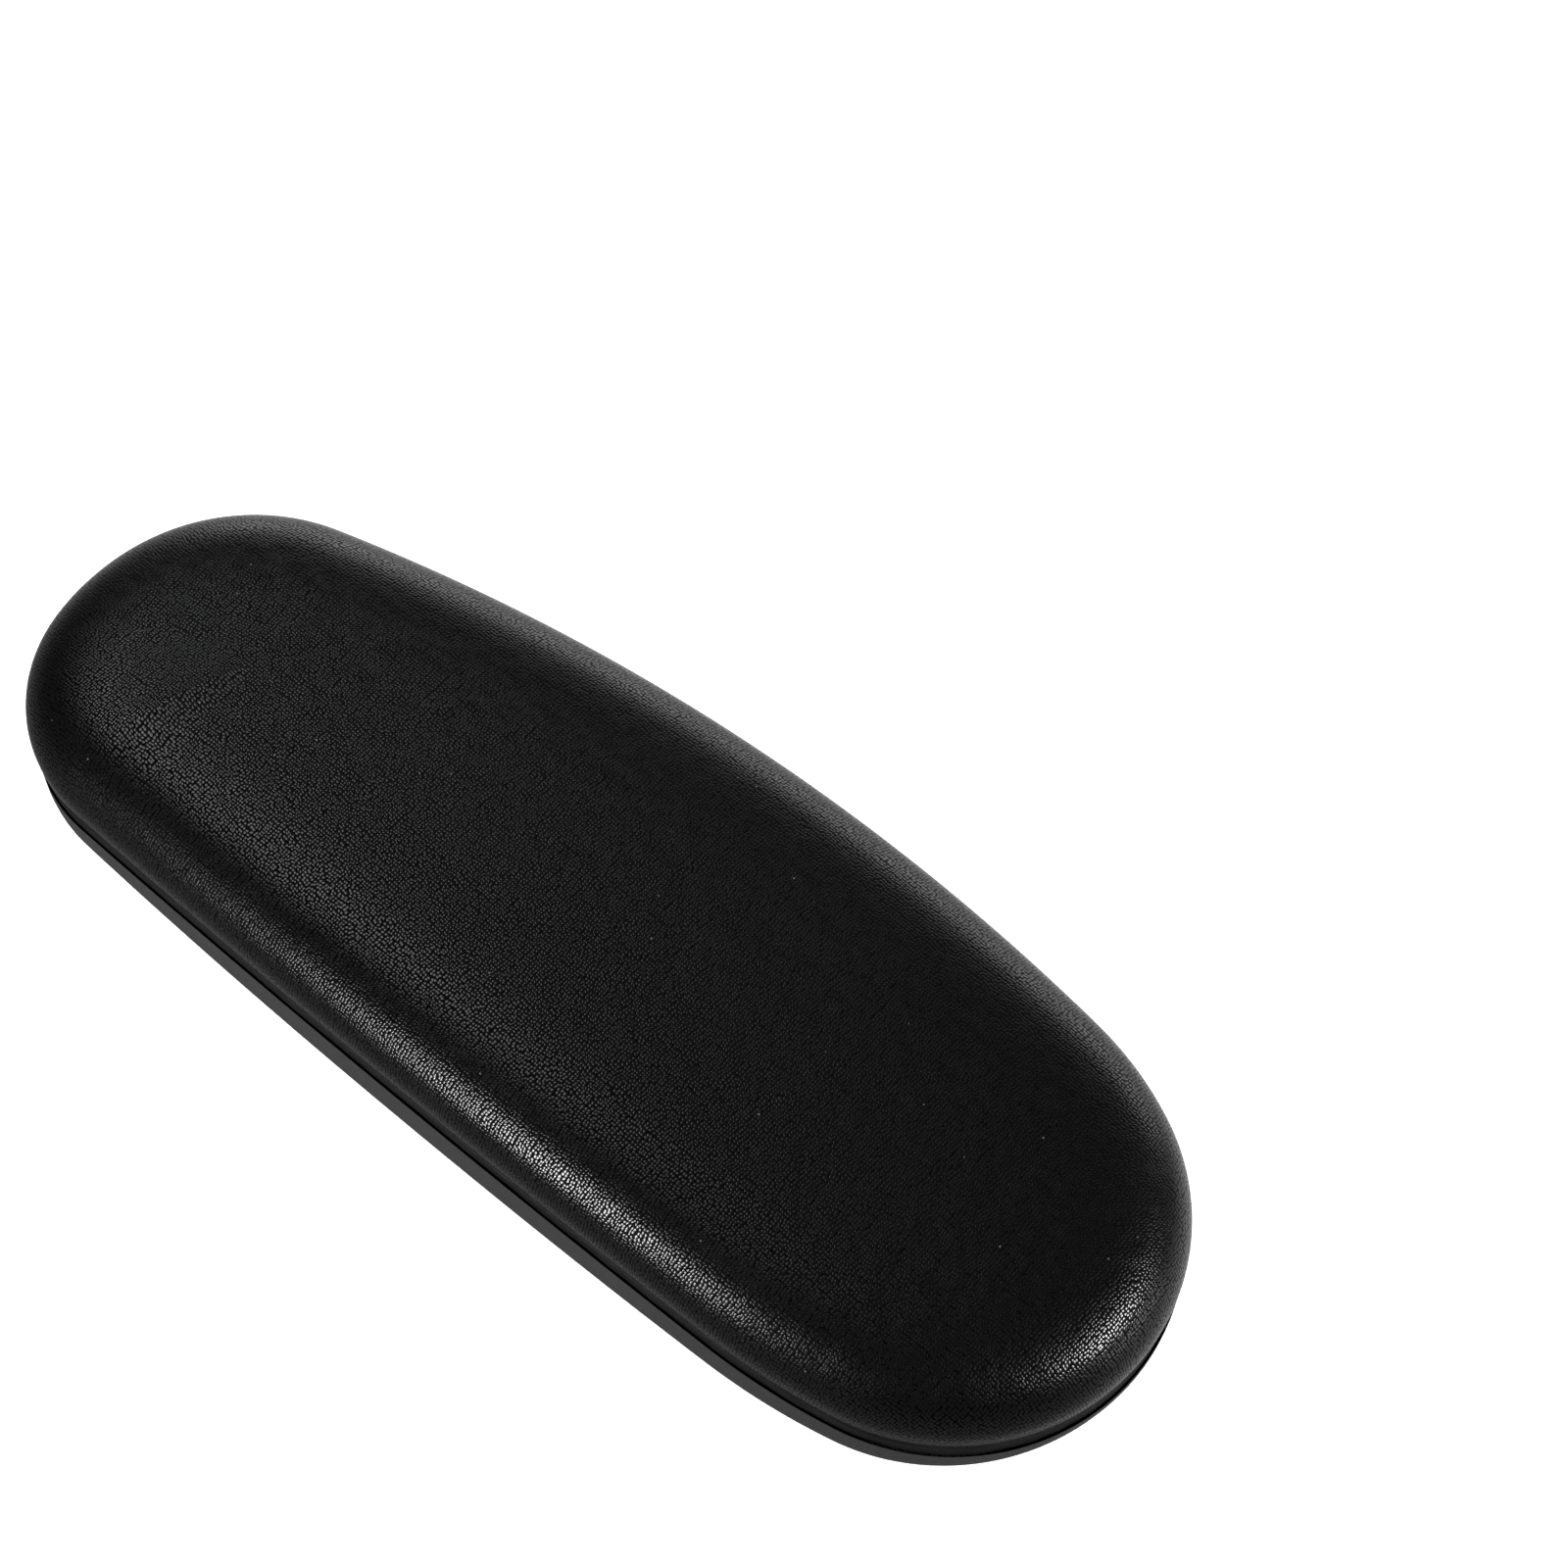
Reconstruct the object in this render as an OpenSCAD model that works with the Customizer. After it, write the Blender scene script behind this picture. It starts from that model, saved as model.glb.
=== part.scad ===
// Moulded armrest pad for an office chair.
// A soft, self-skinned body is moulded around a plywood board that carries four threaded tee nuts.
// Origin: centre of the flat underside. +X points to the front end, +Y to the bowed side, +Z up.

/* [Pad body] */
// Overall length, rear end to front end
pad_l = 260; // [240:1:280]
// Overall width, straight side to bowed side
pad_w = 98.6; // [94:0.2:104]
// Overall height, underside to the top of the crown
pad_h = 33.4; // [32:0.2:36]
// Height at which the lower mould half ends
lower_h = 12.4; // [12.2:0.2:13.4]
// Thickness of the tough skin that the foam forms against the mould
skin_t = 1.2; // [0.8:0.1:1.6]
// Height of the widest level above the rim
swell_h = 5.8; // [3:0.2:7]
// How far the crown tucks in below its widest level, where it meets the rim
tuck = 1.1; // [0.6:0.1:1.4]
// Sharpness of the crown's shoulder; larger gives a flatter top
shoulder = 6.6; // [5:0.2:8]
// How far the lower wall lies inside the widest outline
wall_inset = 0.6; // [0.4:0.1:1]
// Radius under the long sides, where the wall turns in to the underside
side_edge_r = 3.3; // [2.5:0.1:5]
// Radius under the two ends
end_edge_r = 11.8; // [8:0.2:12]

/* [Plan outline] */
// Radius of the long, nearly straight side
straight_r = 3000; // [1500:100:5000]
// Radius of the bowed side
bowed_r = 438; // [400:2:480]
// Radius of the front end
front_r = 44; // [42:0.5:46]
// Radius of the rear corner beside the straight side
rear_corner_r = 35; // [33:0.5:37]

/* [Parting rim] */
// Height of the trimmed rim left where the mould halves meet
rim_h = 3; // [1.6:0.2:3.4]
// How far the rim's face lies inside the widest outline
rim_inset = 0.4; // [0.1:0.1:0.6]

/* [Board] */
// Thickness of the plywood board
board_t = 9; // [8:0.5:10]
// Height of the board's lower face above the underside
board_z = 3; // [2.4:0.2:4]
// Distance from the pad's outline to the board's edge
board_margin = 8.5; // [8:0.5:10]

/* [Tee nuts] */
// Centre distance of the nuts along the pad
nut_pitch_x = 100; // [80:1:120]
// Centre distance of the nuts across the pad
nut_pitch_y = 50; // [44:1:54]
// Radius of the hole for the M6 screw
nut_bore_r = 3; // [2.5:0.05:3.2]
// Outer radius of the barrel
barrel_r = 3.9; // [3.7:0.1:4.4]
// Radius of the flange
flange_r = 9.5; // [8.5:0.5:10.5]
// Thickness of the flange
flange_t = 1.3; // [1:0.1:1.6]
// Length of each prong below the flange
prong_l = 6; // [4:0.5:7]
// Width of each prong
prong_w = 3; // [2:0.5:4]
// Thickness of the foil seal that keeps foam out of the thread
seal_t = 0.4; // [0.3:0.1:0.6]

/* [Underside openings] */
// Radius of the round window below each tee nut
window_r = 10; // [8:0.5:11]
// Radius of the holes left by the two mould pins that hold the board
pin_hole_r = 4; // [3:0.5:5]
// Distance of each pin hole from the pad's centre
pin_hole_x = 78; // [70:1:84]

/* [Hidden] */
$fn = 48;

rim_z = lower_h + rim_h;
rise = pad_h - rim_z - swell_h;
flange_z = board_z + board_t;
seal_z = flange_z + flange_t;
through = 1;

// The outline is a chain of arcs that starts at the rear end and runs along the straight side,
// round the front, back along the bowed side and home. Each arc is [radius, turn in degrees,
// steps]; the first and last radius are worked out below, so that the chain closes.
easing_in_r = 147;
easing_out_r = 68;
open_arcs = [[0, 25.7, 6], [rear_corner_r, 74.3, 14], [straight_r, 3.1, 8], [easing_in_r, 10.8, 5],
             [front_r, 140.7, 24], [easing_out_r, 18.8, 5], [bowed_r, 24.3, 20], [0, 62.3, 12]];
first_heading = -100.7;
arc_count = len(open_arcs);

// Half the width of the crown, from its widest level to its middle
half_w = 0.46 * pad_w;
// Levels below the widest one, as shares of the swell's height
tuck_levels = [0, 0.35, 0.7];
// Levels of the crown, as shares of its half width in from the outline
crown_levels = [0, 0.005, 0.02, 0.045, 0.08, 0.13, 0.2, 0.29, 0.4, 0.53, 0.68];
// Levels of the rounded lower edge, in degrees of a quarter turn
edge_angles = [0, 12, 25, 40, 58, 74, 90];

function total(list, n) = n == 0 ? list[0] * 0 : list[n - 1] + total(list, n - 1);
headings = [for (k = [0:arc_count]) first_heading + total([for (a = open_arcs) a[1]], k)];
// Step that an arc of radius 1 makes from one heading to another
function unit_step(from, to) = [sin(to) - sin(from), cos(from) - cos(to)];
unit_steps = [for (k = [0:arc_count - 1]) unit_step(headings[k], headings[k + 1])];
gap = -total([for (k = [0:arc_count - 1]) open_arcs[k][0] * unit_steps[k]], arc_count);
first_step = unit_steps[0];
last_step = unit_steps[arc_count - 1];
first_r = cross(gap, last_step) / cross(first_step, last_step);
last_r = cross(first_step, gap) / cross(first_step, last_step);
radii = [for (k = [0:arc_count - 1]) k == 0 ? first_r : k == arc_count - 1 ? last_r : open_arcs[k][0]];
arc_starts = [for (k = [0:arc_count - 1])
    total([for (j = [0:arc_count - 1]) radii[j] * unit_steps[j]], k)];

// Each station on the outline is [point, heading]
stations = [for (k = [0:arc_count - 1]) for (i = [0:open_arcs[k][2] - 1])
    let (h = headings[k] + open_arcs[k][1] * i / open_arcs[k][2])
    [arc_starts[k] + radii[k] * unit_step(headings[k], h), h]];
xs = [for (s = stations) s[0][0]];
ys = [for (s = stations) s[0][1]];
raw_centre = [max(xs) + min(xs), max(ys) + min(ys)] / 2;
fit_x = pad_l / (max(xs) - min(xs));
fit_y = pad_w / (max(ys) - min(ys));

// Outline point of a station, moved inwards by d
function inset_point(s, d) =
    let (p = s[0] - raw_centre) [p[0] * fit_x - d * sin(s[1]), p[1] * fit_y + d * cos(s[1])];
function outline(d = 0) = [for (s = stations) inset_point(s, d)];

// Edge radius below a station: small along the sides, growing towards the ends
function edge_r(s) =
    let (share = pow(abs(inset_point(s, 0)[0]) / (pad_l / 2), 2.5))
    side_edge_r + (end_edge_r - side_edge_r) * share;

// Share of the crown's rise that is reached at a share of the half width
function crown_up(t) = sqrt(1 - pow(1 - t, shoulder));

// Closed solid through rings of points that all have the same number of points
module ring_stack(rings) {
    n = len(rings[0]);
    m = len(rings);
    sides = [for (k = [0:m - 2]) for (i = [0:n - 1])
        [k * n + i, (k + 1) * n + i, (k + 1) * n + (i + 1) % n, k * n + (i + 1) % n]];
    polyhedron(points = [for (ring = rings) each ring],
        faces = concat([[for (i = [0:n - 1]) i]], sides, [[for (i = [n - 1:-1:0]) (m - 1) * n + i]]),
        convexity = 4);
}

function lift(points, z) = [for (p = points) [p[0], p[1], z]];

// Crown above the rim; skin is the distance that it lies inside the pad's surface
function crown_rings(skin) = concat(
    [for (t = tuck_levels) lift(outline(skin + tuck * pow(1 - t, 2)), rim_z + swell_h * t)],
    [for (t = crown_levels)
        lift(outline(skin + t * (half_w - skin)), rim_z + swell_h + crown_up(t) * (rise - skin))]);

// Rounded lower form; a ring follows the edge radius, so it isn't level
function edge_rings(skin) = [for (a = edge_angles) [for (s = stations)
    let (r = edge_r(s), p = inset_point(s, skin + wall_inset + (r - skin) * (1 - sin(a))))
    [p[0], p[1], skin + (r - skin) * (1 - cos(a))]]];

module crown_form(skin) {
    ring_stack(concat(skin > 0 ? [lift(outline(skin + tuck), rim_z - through)] : [], crown_rings(skin)));
}

module lower_form(skin) {
    ring_stack(concat(edge_rings(skin),
        [lift(outline(skin + wall_inset), lower_h + (skin > 0 ? through : 0))]));
}

module at_nuts() {
    for (x = [-1, 1], y = [-1, 1]) translate([x * nut_pitch_x / 2, y * nut_pitch_y / 2, 0]) children();
}

module at_pin_holes() {
    for (x = [-1, 1]) translate([x * pin_hole_x, 0, 0]) children();
}

// Cuts the windows and pin holes from below up to a height
module underside_openings(top) {
    at_nuts() translate([0, 0, -through]) cylinder(r = window_r, h = top + through);
    at_pin_holes() translate([0, 0, -through]) cylinder(r = pin_hole_r, h = top + through);
}

module upper_skin() {
    color("#1b1b1d") difference() {
        crown_form(0);
        crown_form(skin_t);
    }
}

module parting_rim() {
    color("#101011") translate([0, 0, lower_h]) difference() {
        linear_extrude(rim_h) polygon(outline(rim_inset));
        translate([0, 0, -through]) linear_extrude(rim_h + 2 * through) polygon(outline(skin_t + tuck));
    }
}

module lower_skin() {
    color("#232325") difference() {
        lower_form(0);
        lower_form(skin_t);
        underside_openings(skin_t + through);
    }
}

module foam_core() {
    color("#3a3a3c") difference() {
        ring_stack(concat(edge_rings(skin_t), [lift(outline(skin_t + wall_inset), lower_h)],
            [lift(outline(skin_t + tuck), lower_h)], crown_rings(skin_t)));
        translate([0, 0, board_z]) board_blank();
        underside_openings(board_z);
        at_nuts() translate([0, 0, flange_z]) cylinder(r = flange_r, h = flange_t + seal_t);
    }
}

module board_blank() {
    linear_extrude(board_t) polygon(outline(board_margin));
}

module core_board() {
    color("burlywood") difference() {
        translate([0, 0, board_z]) board_blank();
        at_nuts() translate([0, 0, board_z - through]) cylinder(r = barrel_r, h = board_t + 2 * through);
        at_nuts() prongs();
    }
}

// Four prongs that bite into the board below the flange
module prongs() {
    for (a = [45:90:315]) rotate([0, 0, a])
        translate([flange_r - 2.2, -prong_w / 2, flange_z - prong_l]) cube([flange_t, prong_w, prong_l]);
}

module tee_nut(x, y) {
    color("silver") translate([x * nut_pitch_x / 2, y * nut_pitch_y / 2, 0]) difference() {
        union() {
            translate([0, 0, flange_z]) cylinder(r = flange_r, h = flange_t);
            translate([0, 0, board_z]) cylinder(r = barrel_r, h = board_t);
            prongs();
        }
        translate([0, 0, board_z - through]) cylinder(r = nut_bore_r, h = board_t + flange_t + 2 * through);
    }
}

module seal(x, y) {
    color("gainsboro") translate([x * nut_pitch_x / 2, y * nut_pitch_y / 2, seal_z])
        cylinder(r = flange_r, h = seal_t);
}

upper_skin();
parting_rim();
lower_skin();
foam_core();
core_board();
tee_nut(1, 1);  // tee_nut_front_left
tee_nut(1, -1);  // tee_nut_front_right
tee_nut(-1, 1);  // tee_nut_rear_left
tee_nut(-1, -1);  // tee_nut_rear_right
seal(1, 1);  // seal_front_left
seal(1, -1);  // seal_front_right
seal(-1, 1);  // seal_rear_left
seal(-1, -1);  // seal_rear_right
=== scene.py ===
"""Moulded armrest pad for an office chair: the finished surfaces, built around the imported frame.

The pad is a self-skinned foam moulding in two mould halves. Its grained crown, its trimmed parting
rim and its matte base are drawn here over the same plan outline. The foam, board, tee nuts and
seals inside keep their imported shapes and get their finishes.
"""

import logging
import math
from collections.abc import Callable, Iterable
from dataclasses import dataclass, field
from enum import Enum

import bmesh
import bpy
from bmesh.types import BMEdge, BMesh, BMVert
from mathutils import Matrix, Vector, noise


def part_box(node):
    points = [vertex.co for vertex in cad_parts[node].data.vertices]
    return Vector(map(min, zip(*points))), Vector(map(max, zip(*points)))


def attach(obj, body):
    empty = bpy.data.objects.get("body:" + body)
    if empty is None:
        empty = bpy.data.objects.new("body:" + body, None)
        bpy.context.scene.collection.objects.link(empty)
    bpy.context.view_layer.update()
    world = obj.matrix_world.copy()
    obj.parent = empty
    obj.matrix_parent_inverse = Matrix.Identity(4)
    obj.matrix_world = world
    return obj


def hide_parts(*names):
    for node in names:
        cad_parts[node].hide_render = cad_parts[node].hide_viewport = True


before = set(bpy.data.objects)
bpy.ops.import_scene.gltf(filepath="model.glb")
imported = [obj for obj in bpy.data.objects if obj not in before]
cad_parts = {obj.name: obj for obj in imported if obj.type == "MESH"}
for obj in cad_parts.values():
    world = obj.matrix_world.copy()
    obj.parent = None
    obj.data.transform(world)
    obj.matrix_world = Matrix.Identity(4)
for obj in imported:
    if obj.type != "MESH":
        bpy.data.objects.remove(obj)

LOG = logging.getLogger("armrest_pad")
MM = 0.001
BODY = "root"
UP = Vector((0.0, 0.0, 1.0))


# ---------------------------------------------------------------------------------------------
# Plan outline
# ---------------------------------------------------------------------------------------------


@dataclass(frozen=True)
class Arc:
    """One arc of the plan outline.

    Args:
        radius: Its radius; None is worked out so that the chain closes.
        turn: Its change of heading, in degrees.
        steps: Number of stations along it.
    """

    radius: float | None
    turn: float
    steps: int


@dataclass(frozen=True)
class Station:
    """A place on the plan outline.

    Args:
        point: The place, at height zero.
        outward: Direction square to the outline, away from the pad.
        to_spine: The way to its place on the crown's spine.
    """

    point: Vector
    outward: Vector
    to_spine: Vector

    def inset(self, distance: float) -> Vector:
        """Returns the point moved straight inwards by a distance."""
        return self.point - self.outward * distance


@dataclass
class PlanOutline:
    """The pad's outline in plan, as a chain of arcs from the rear end round the straight side.

    Args:
        length: Overall length along X.
        width: Overall width along Y.
        arcs: The chain, whose first and last radius close it.
        first_heading: Direction of travel at the first station, in degrees.
        spine_rear: X of the rear end of the crown's spine.
        spine_front: X of its front end.
        spine_side: Y of the spine.
        spine_share: Length of the way from the outline to the spine, as a share of the width.
        stations: The places along it, worked out from the chain.
    """

    length: float
    width: float
    arcs: tuple[Arc, ...] = (
        Arc(None, 25.7, 18),
        Arc(35 * MM, 74.3, 40),
        Arc(3000 * MM, 3.1, 76),
        Arc(147 * MM, 10.8, 16),
        Arc(44 * MM, 140.7, 72),
        Arc(68 * MM, 18.8, 14),
        Arc(438 * MM, 24.3, 84),
        Arc(None, 62.3, 36),
    )
    first_heading: float = -100.7
    spine_rear: float = -84 * MM
    spine_front: float = 84 * MM
    spine_side: float = 0.0
    spine_share: float = 0.46
    stations: list[Station] = field(default_factory=list)

    def __post_init__(self) -> None:
        """Works out the stations once."""
        self.stations = self._walk()

    def _headings(self) -> list[float]:
        """Returns the heading at the start of each arc and at the end of the last, in radians."""
        found = [math.radians(self.first_heading)]
        for arc in self.arcs:
            found.append(found[-1] + math.radians(arc.turn))
        return found

    def _radii(self, headings: list[float]) -> list[float]:
        """Solves the two open radii.

        Args:
            headings: Heading at each arc's ends.

        Returns:
            Every arc's radius.
        """
        steps = [unit_step(a, b) for a, b in zip(headings, headings[1:])]
        gap = Vector((0.0, 0.0, 0.0))
        for arc, step in zip(self.arcs, steps):
            gap -= step * (arc.radius or 0.0)
        across = steps[0].cross(steps[-1]).z
        first = gap.cross(steps[-1]).z / across
        last = steps[0].cross(gap).z / across
        return [first, *(arc.radius for arc in self.arcs[1:-1]), last]

    def _walk(self) -> list[Station]:
        """Spins a vertex round each arc in turn.

        Returns:
            The stations, counter-clockwise from the rear end.
        """
        headings = self._headings()
        bm = bmesh.new()
        tip = bm.verts.new((0.0, 0.0, 0.0))
        for arc, radius, heading in zip(self.arcs, self._radii(headings), headings):
            centre = tip.co + Vector((-math.sin(heading), math.cos(heading), 0.0)) * radius
            made = bmesh.ops.spin(
                bm, geom=[tip], cent=centre, axis=UP, dvec=(0, 0, 0),
                angle=math.radians(arc.turn), steps=arc.steps, use_merge=False, use_duplicate=False,
            )
            tip = next(item for item in made["geom_last"] if isinstance(item, BMVert))
        points = [vert.co.copy() for vert in bm.verts][:-1]
        bm.free()
        turned = [
            heading + math.radians(arc.turn) * i / arc.steps
            for arc, heading in zip(self.arcs, headings)
            for i in range(arc.steps)
        ]
        low = Vector((min(p.x for p in points), min(p.y for p in points), 0.0))
        high = Vector((max(p.x for p in points), max(p.y for p in points), 0.0))
        middle, span = (low + high) / 2, high - low
        found = []
        for point, heading in zip(points, turned):
            p = point - middle
            p = Vector((p.x * self.length / span.x, p.y * self.width / span.y, 0.0))
            outward = Vector((math.sin(heading), -math.cos(heading), 0.0))
            found.append(Station(p, outward, self._way_to_spine(p, outward)))
        return found

    def _way_to_spine(self, point: Vector, outward: Vector) -> Vector:
        """Finds the way from an outline point to its place on the crown's spine.

        Args:
            point: The outline point.
            outward: Direction square to the outline there.

        Returns:
            The way, level with the point.
        """
        target = point - outward * (self.width * self.spine_share)
        x = min(max(target.x, self.spine_rear), self.spine_front)
        return Vector((x, self.spine_side, 0.0)) - point


def unit_step(start: float, end: float) -> Vector:
    """Returns the step that an arc of radius 1 makes between two headings."""
    return Vector((math.sin(end) - math.sin(start), math.cos(start) - math.cos(end), 0.0))


# ---------------------------------------------------------------------------------------------
# Mesh helpers
# ---------------------------------------------------------------------------------------------


def new_loop(bm: BMesh, places: list[Vector]) -> list[BMVert]:
    """Draws a closed loop of edges.

    Args:
        bm: The mesh.
        places: The loop's points.

    Returns:
        The loop's vertices in order.
    """
    verts = [bm.verts.new(place) for place in places]
    for a, b in zip(verts, verts[1:] + verts[:1]):
        bm.edges.new((a, b))
    return verts


def loop_edges(verts: list[BMVert]) -> list[BMEdge]:
    """Returns the edges that join a loop's vertices."""
    pairs = zip(verts, verts[1:] + verts[:1])
    return [next(e for e in a.link_edges if e.other_vert(a) is b) for a, b in pairs]


def extrude_loop(bm: BMesh, verts: list[BMVert], places: list[Vector]) -> list[BMVert]:
    """Extrudes a loop to new places.

    Args:
        bm: The mesh.
        verts: The loop's vertices in order.
        places: Where each goes.

    Returns:
        The new loop's vertices in the same order.
    """
    made = bmesh.ops.extrude_edge_only(bm, edges=loop_edges(verts))["geom"]
    fresh = {item for item in made if isinstance(item, BMVert)}
    after = []
    for vert, place in zip(verts, places):
        twin = next(e.other_vert(vert) for e in vert.link_edges if e.other_vert(vert) in fresh)
        twin.co = place
        after.append(twin)
    return after


def close_loop(bm: BMesh, verts: list[BMVert]) -> None:
    """Closes a flat loop with well-shaped triangles."""
    made = bmesh.ops.contextual_create(bm, geom=loop_edges(verts))["faces"]
    bmesh.ops.triangulate(bm, faces=made, quad_method="BEAUTY", ngon_method="BEAUTY")


def to_piece(bm: BMesh, name: str, smooth: bool = True) -> bpy.types.Object:
    """Turns a bmesh into a finished object at the origin.

    Args:
        bm: The mesh, which is freed.
        name: The piece's name.
        smooth: Whether its faces are shaded smooth.

    Returns:
        The new object.
    """
    bmesh.ops.recalc_face_normals(bm, faces=bm.faces)
    for face in bm.faces:
        face.smooth = smooth
    mesh = bpy.data.meshes.new(name)
    bm.to_mesh(mesh)
    bm.free()
    piece = bpy.data.objects.new(name, mesh)
    bpy.context.scene.collection.objects.link(piece)
    return piece


def give_wall(piece: bpy.types.Object, thickness: float) -> None:
    """Gives an open skin its thickness, inwards.

    Args:
        piece: The skin.
        thickness: Thickness of its wall.
    """
    wall = piece.modifiers.new("Wall", "SOLIDIFY")
    wall.thickness = thickness
    wall.offset = -1.0
    wall.use_even_offset = True
    wall.use_rim = True


# ---------------------------------------------------------------------------------------------
# Shader groups
# ---------------------------------------------------------------------------------------------


class Coordinates(Enum):
    """Where a finish's pattern is read from."""

    OBJECT = "object"
    GRAIN_MAP = "grain_map"


class NodeSheet:
    """A node tree with short ways to add and join nodes."""

    def __init__(self, tree: bpy.types.NodeTree, keep: bool = False) -> None:
        """Starts on a tree, emptied unless its nodes are to be kept."""
        self.tree = tree
        if not keep:
            tree.nodes.clear()

    def add(self, kind: str, **settings: object) -> bpy.types.Node:
        """Adds a node.

        Args:
            kind: Its type.
            settings: Attributes to set on it.

        Returns:
            The node.
        """
        node = self.tree.nodes.new(kind)
        for name, value in settings.items():
            setattr(node, name, value)
        return node

    def join(self, source: bpy.types.NodeSocket, target: bpy.types.NodeSocket) -> None:
        """Links two sockets."""
        self.tree.links.new(source, target)

    def math(self, operation: str, a: object, b: object = 0.5, clamp: bool = False) -> bpy.types.NodeSocket:
        """Adds a Math node.

        Args:
            operation: What it does.
            a: A socket or a number.
            b: A socket or a number.
            clamp: Whether the result stays from 0 to 1.

        Returns:
            Its output.
        """
        node = self.add("ShaderNodeMath", operation=operation, use_clamp=clamp)
        for socket, value in zip(node.inputs, (a, b)):
            self.feed(value, socket)
        return node.outputs[0]

    def scaled(self, value: bpy.types.NodeSocket, factor: float, start: float) -> bpy.types.NodeSocket:
        """Returns a value times a factor, plus a start."""
        node = self.math("MULTIPLY_ADD", value, factor).node
        node.inputs[2].default_value = start
        return node.outputs[0]

    def feed(self, value: object, socket: bpy.types.NodeSocket) -> None:
        """Links a socket or sets a number on an input."""
        if isinstance(value, bpy.types.NodeSocket):
            self.join(value, socket)
        else:
            socket.default_value = value

    def ramp(self, value: bpy.types.NodeSocket, low: float, high: float) -> bpy.types.NodeSocket:
        """Adds a smooth step.

        Args:
            value: The value that is read.
            low: Where the step starts to rise from 0.
            high: Where it reaches 1.

        Returns:
            The step's height.
        """
        node = self.add("ShaderNodeMapRange", interpolation_type="SMOOTHSTEP")
        self.join(value, node.inputs["Value"])
        node.inputs["From Min"].default_value = low
        node.inputs["From Max"].default_value = high
        return node.outputs["Result"]

    def blend(self, share: object, a: object, b: object) -> bpy.types.NodeSocket:
        """Returns a colour mixed from two.

        Args:
            share: How much of the second, as a socket or a number.
            a: The first colour, or its socket.
            b: The second colour, or its socket.

        Returns:
            The mixed colour.
        """
        node = self.add("ShaderNodeMix", data_type="RGBA")
        self.feed(share, node.inputs["Factor"])
        for socket, value in ((node.inputs[6], a), (node.inputs[7], b)):
            self.feed((*value, 1.0) if isinstance(value, tuple) else value, socket)
        return node.outputs[2]


class ShaderGroup:
    """A node group with named inputs and outputs, built once."""

    title: str = ""
    numbers: dict[str, float] = {}
    outputs: tuple[str, ...] = ()

    def __init__(self) -> None:
        """Makes the group's sockets and draws its nodes."""
        self.tree = bpy.data.node_groups.new(self.title, "ShaderNodeTree")
        face = self.tree.interface
        face.new_socket("Vector", in_out="INPUT", socket_type="NodeSocketVector")
        for name, value in self.numbers.items():
            face.new_socket(name, in_out="INPUT", socket_type="NodeSocketFloat").default_value = value
        for name in self.outputs:
            face.new_socket(name, in_out="OUTPUT", socket_type="NodeSocketFloat")
        sheet = NodeSheet(self.tree)
        source = sheet.add("NodeGroupInput").outputs
        results = self.draw(sheet, source)
        sink = sheet.add("NodeGroupOutput").inputs
        for name in self.outputs:
            sheet.join(results[name], sink[name])

    def draw(self, sheet: NodeSheet, source: object) -> dict[str, bpy.types.NodeSocket]:
        """Draws the group's nodes.

        Args:
            sheet: The group's tree.
            source: Its input sockets by name.

        Returns:
            Its output sockets by name.
        """
        raise NotImplementedError

    def place(self, sheet: NodeSheet, vector: bpy.types.NodeSocket, **values: float) -> object:
        """Places the group in a material.

        Args:
            sheet: The material's tree.
            vector: The coordinates it reads.
            values: Numbers for its inputs, by name with _ for a space.

        Returns:
            Its outputs.
        """
        node = sheet.add("ShaderNodeGroup", node_tree=self.tree)
        sheet.join(vector, node.inputs["Vector"])
        for name, value in values.items():
            node.inputs[name.replace("_", " ")].default_value = value
        return node.outputs


class PebbleGrain(ShaderGroup):
    """Close-packed round pebbles in wavy rows, as a mould's etched grain leaves them."""

    title = "Pebble grain"
    numbers = {"Pitch": 0.7 * MM, "Sway": 0.35, "Disorder": 0.42}
    outputs = ("Height", "Crevice")

    def draw(self, sheet: NodeSheet, source: object) -> dict[str, bpy.types.NodeSocket]:
        """Draws swayed coordinates and a field of domes.

        Args:
            sheet: The group's tree.
            source: Its input sockets by name.

        Returns:
            Its output sockets by name.
        """
        scale = sheet.math("DIVIDE", 1.0, source["Pitch"])
        sized = sheet.add("ShaderNodeVectorMath", operation="SCALE")
        sheet.join(source["Vector"], sized.inputs[0])
        sheet.join(scale, sized.inputs["Scale"])
        sway = sheet.add("ShaderNodeTexNoise", noise_dimensions="3D")
        sway.inputs["Scale"].default_value = 0.16
        sway.inputs["Detail"].default_value = 1.0
        sheet.join(sized.outputs[0], sway.inputs["Vector"])
        centred = sheet.add("ShaderNodeVectorMath", operation="SUBTRACT")
        sheet.join(sway.outputs["Color"], centred.inputs[0])
        centred.inputs[1].default_value = (0.5, 0.5, 0.5)
        pushed = sheet.add("ShaderNodeVectorMath", operation="MULTIPLY_ADD")
        sheet.join(centred.outputs[0], pushed.inputs[0])
        spread = sheet.math("MULTIPLY", source["Sway"], 6.0)
        sheet.join(spread, pushed.inputs[1])
        sheet.join(sized.outputs[0], pushed.inputs[2])
        cells = sheet.add("ShaderNodeTexVoronoi", voronoi_dimensions="2D", feature="F1")
        cells.inputs["Scale"].default_value = 1.0
        sheet.join(source["Disorder"], cells.inputs["Randomness"])
        sheet.join(pushed.outputs[0], cells.inputs["Vector"])
        steep = sheet.math("POWER", cells.outputs["Distance"], 3.0)
        dome = sheet.math("SUBTRACT", 1.0, sheet.math("MULTIPLY", steep, 4.2), clamp=True)
        crevice = sheet.ramp(cells.outputs["Distance"], 0.3, 0.52)
        return {"Height": dome, "Crevice": crevice}


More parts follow.
